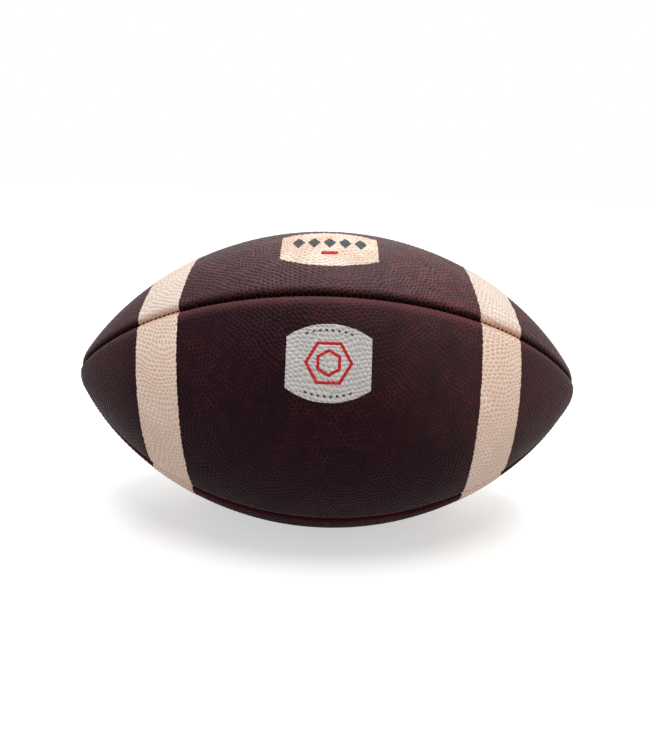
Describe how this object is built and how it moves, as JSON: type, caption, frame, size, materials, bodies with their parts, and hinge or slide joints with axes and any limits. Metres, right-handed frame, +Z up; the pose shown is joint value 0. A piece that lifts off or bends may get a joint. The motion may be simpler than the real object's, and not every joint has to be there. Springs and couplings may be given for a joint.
{
  "type": "american football",
  "caption": "Pointed oval gridiron ball of sewn pebbled leather panels with painted stripes and raised lacing, over a rubber bladder with a needle valve.",
  "frame": {"origin": "middle of the ball", "axes": "+X along the ball's long axis, +Z up, the printed panel faces -Y and the laced seam lies up and back"},
  "size_m": [0.285, 0.169, 0.1687],
  "materials": {
    "leather": "pebbled, semi-matt",
    "paint": "matt paint over pebbles",
    "print": "satin foil print over pebbles",
    "thread": "waxed",
    "lace": "grained vinyl",
    "facing": "matt",
    "cloth": "woven",
    "rubber": "matt",
    "plastic": "satin",
    "board": "varnished",
    "cell": "satin"
  },
  "bodies": {
    "root": {"panel_front": "leather", "panel_top": "leather", "panel_back": "leather", "panel_bottom": "leather", "stripe_left_front": "paint", "stripe_right_front": "paint", "stripe_left_top": "paint", "stripe_right_top": "paint", "stripe_left_back": "paint", "stripe_right_back": "paint", "stripe_left_bottom": "paint", "stripe_right_bottom": "paint", "print_front": "print", "print_top": "print", "seam_thread_front_top": "thread", "seam_thread_back_bottom": "thread", "seam_thread_bottom_front": "thread", "seam_thread_lace_left": "thread", "seam_thread_lace_right": "thread", "lace": "lace", "lace_facing_top": "facing", "lace_facing_back": "facing", "lace_tongue": "facing", "lining_front": "cloth", "lining_top": "cloth", "lining_back": "cloth", "lining_bottom": "cloth", "bladder": "rubber", "valve_housing": "rubber", "valve_core": "rubber", "valve_patch": "cloth", "tracker_pocket": "rubber", "tracker_case": "plastic", "tracker_cell": "cell", "tracker_board": "board", "tracker_cover": "plastic"}
  },
  "joints": []
}
